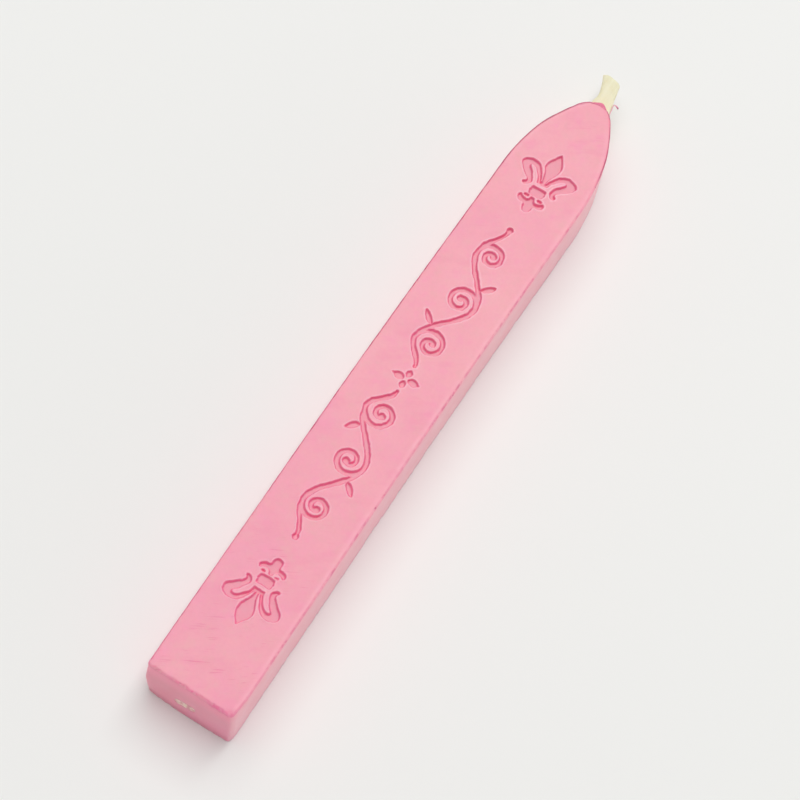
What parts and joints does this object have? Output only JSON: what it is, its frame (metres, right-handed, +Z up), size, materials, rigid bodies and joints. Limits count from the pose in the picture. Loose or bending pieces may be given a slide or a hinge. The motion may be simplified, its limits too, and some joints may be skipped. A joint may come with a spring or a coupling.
{
  "type": "sealing wax stick",
  "caption": "Flat-topped bar of sealing wax with a square butt, a pointed-arch tip, an engraved upper face and a flat cotton wick whose free end bends.",
  "frame": {"origin": "centre of the wax bar's flat underside", "axes": "+X from the butt end to the tip, +Z up through the engraved face"},
  "size_m": [0.0962, 0.0114, 0.0085],
  "materials": {
    "wax": "satin pink wax, slightly translucent",
    "wick": "waxed cream cotton braid"
  },
  "bodies": {
    "stick": {"wax_body": "wax", "wick": "wick"},
    "wick_end": {"wick_end": "wick"}
  },
  "joints": [
    {"name": "wick_bend", "type": "hinge", "parent": "stick", "child": "wick_end", "pos_m": [0.0458, 0, 0.00425], "axis": [0, -1, 0], "range_deg": [-40, 80]}
  ]
}
